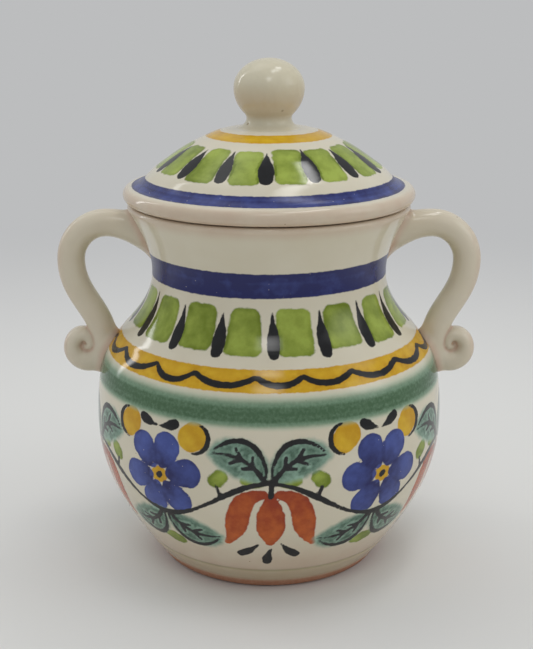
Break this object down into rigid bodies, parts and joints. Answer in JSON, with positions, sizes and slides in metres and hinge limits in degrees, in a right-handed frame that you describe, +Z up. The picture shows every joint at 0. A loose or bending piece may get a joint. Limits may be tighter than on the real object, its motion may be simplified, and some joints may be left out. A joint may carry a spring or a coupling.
{
  "type": "lidded spice pot",
  "caption": "Round-bellied glazed earthenware pot with a flared neck, scroll handles and a loose domed lid with a ball knob, for keeping spices.",
  "frame": {"origin": "centre of the foot, on the plane that the pot stands on", "axes": "+Z up along the axis of the pot, +X through the handles, +Y to the back"},
  "size_m": [0.1224, 0.1014, 0.145],
  "materials": {
    "pot_glaze": "glossy tin glaze with painted bands and a floral frieze",
    "handle_left_glaze": "glossy cream tin glaze",
    "handle_right_glaze": "glossy cream tin glaze",
    "lid_glaze": "glossy tin glaze with painted bands",
    "knob_glaze": "glossy cream tin glaze"
  },
  "bodies": {
    "pot": {"pot_body": "pot_glaze", "handle_left": "handle_left_glaze", "handle_right": "handle_right_glaze"},
    "lid": {"lid_dome": "lid_glaze", "lid_knob": "knob_glaze"}
  },
  "joints": [
    {"name": "lid_lift", "type": "slide", "parent": "pot", "child": "lid", "axis": [0, 0, 1], "range_m": [0, 0.06]}
  ]
}
